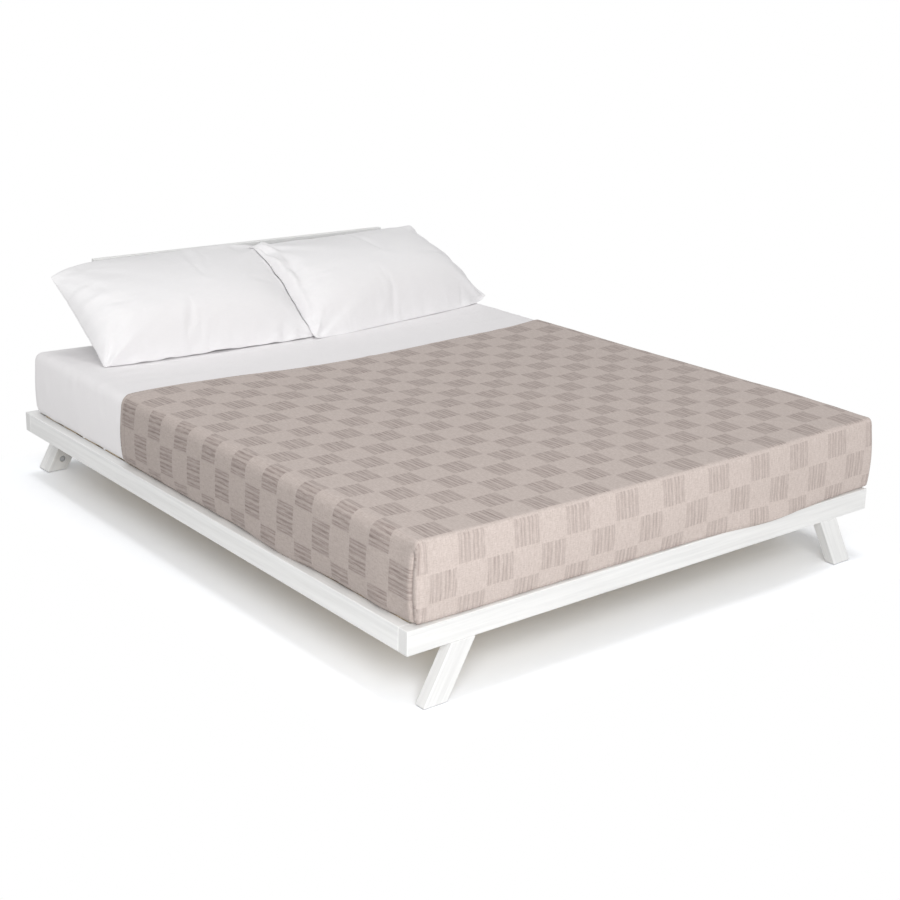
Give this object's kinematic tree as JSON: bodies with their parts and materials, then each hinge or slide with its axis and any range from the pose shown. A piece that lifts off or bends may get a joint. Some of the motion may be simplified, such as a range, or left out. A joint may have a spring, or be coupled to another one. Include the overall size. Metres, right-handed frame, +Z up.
{
  "type": "double bed",
  "caption": "Low double bed: white softwood frame on splayed legs with a leaning plank headboard, slatted base, mattress, check bedspread and plump pillows.",
  "frame": {"origin": "on the floor, in the middle of the bed between its sides and between its foot rail and the back of its headboard posts", "axes": "+X to the right seen from the foot, +Y from the foot to the headboard, +Z up"},
  "size_m": [1.6373, 2.053, 0.6787],
  "materials": {
    "white_timber": "satin",
    "pale_timber": "matte",
    "zinc_steel": "satin",
    "dowel_wood": "matte",
    "grey_felt": "matte",
    "ticking": "matte",
    "white_sheet": "matte",
    "taupe_weave": "matte",
    "white_cotton": "matte",
    "pillow_filling": "matte"
  },
  "bodies": {
    "bed_frame": {"foot_rail": "white_timber", "head_rail": "white_timber", "side_rail_left": "white_timber", "side_rail_right": "white_timber", "leg_foot_left": "white_timber", "leg_foot_right": "white_timber", "leg_head_left": "white_timber", "leg_head_right": "white_timber", "headboard_post_left": "white_timber", "headboard_post_right": "white_timber", "headboard_plank_upper": "white_timber", "headboard_plank_lower": "white_timber", "slat_ledger_left": "pale_timber", "slat_ledger_right": "pale_timber", "centre_beam": "pale_timber", "centre_leg": "pale_timber", "slat_01": "pale_timber", "slat_02": "pale_timber", "slat_03": "pale_timber", "slat_04": "pale_timber", "slat_05": "pale_timber", "slat_06": "pale_timber", "slat_07": "pale_timber", "slat_08": "pale_timber", "slat_09": "pale_timber", "slat_10": "pale_timber", "slat_11": "pale_timber", "slat_12": "pale_timber", "slat_13": "pale_timber", "slat_14": "pale_timber", "corner_bracket_foot_left": "zinc_steel", "corner_bracket_foot_right": "zinc_steel", "corner_bracket_head_left": "zinc_steel", "corner_bracket_head_right": "zinc_steel", "leg_plate_left": "zinc_steel", "leg_plate_right": "zinc_steel", "beam_hanger_foot": "zinc_steel", "beam_hanger_head": "zinc_steel", "bracket_screws": "zinc_steel", "plate_screws": "zinc_steel", "hanger_screws": "zinc_steel", "slat_screws": "zinc_steel", "ledger_screws": "zinc_steel", "headboard_screws": "zinc_steel", "post_bolts": "zinc_steel", "post_washers": "zinc_steel", "post_nuts": "zinc_steel", "centre_leg_screw": "zinc_steel", "rail_dowels": "dowel_wood", "leg_dowels": "dowel_wood", "felt_pads": "grey_felt"},
    "bedding": {"mattress": "ticking", "fitted_sheet": "white_sheet", "bedspread": "taupe_weave"},
    "left_pillow": {"pillow_left": "pillow_filling", "pillowcase_left": "white_cotton"},
    "right_pillow": {"pillow_right": "pillow_filling", "pillowcase_right": "white_cotton"}
  },
  "joints": [
    {"name": "mattress_lift", "type": "slide", "parent": "bed_frame", "child": "bedding", "axis": [0, 0, 1], "range_m": [0, 0.3]},
    {"name": "left_pillow_lift", "type": "slide", "parent": "bedding", "child": "left_pillow", "axis": [0, 0, 1], "range_m": [0, 0.3]},
    {"name": "right_pillow_lift", "type": "slide", "parent": "bedding", "child": "right_pillow", "axis": [0, 0, 1], "range_m": [0, 0.3]}
  ]
}
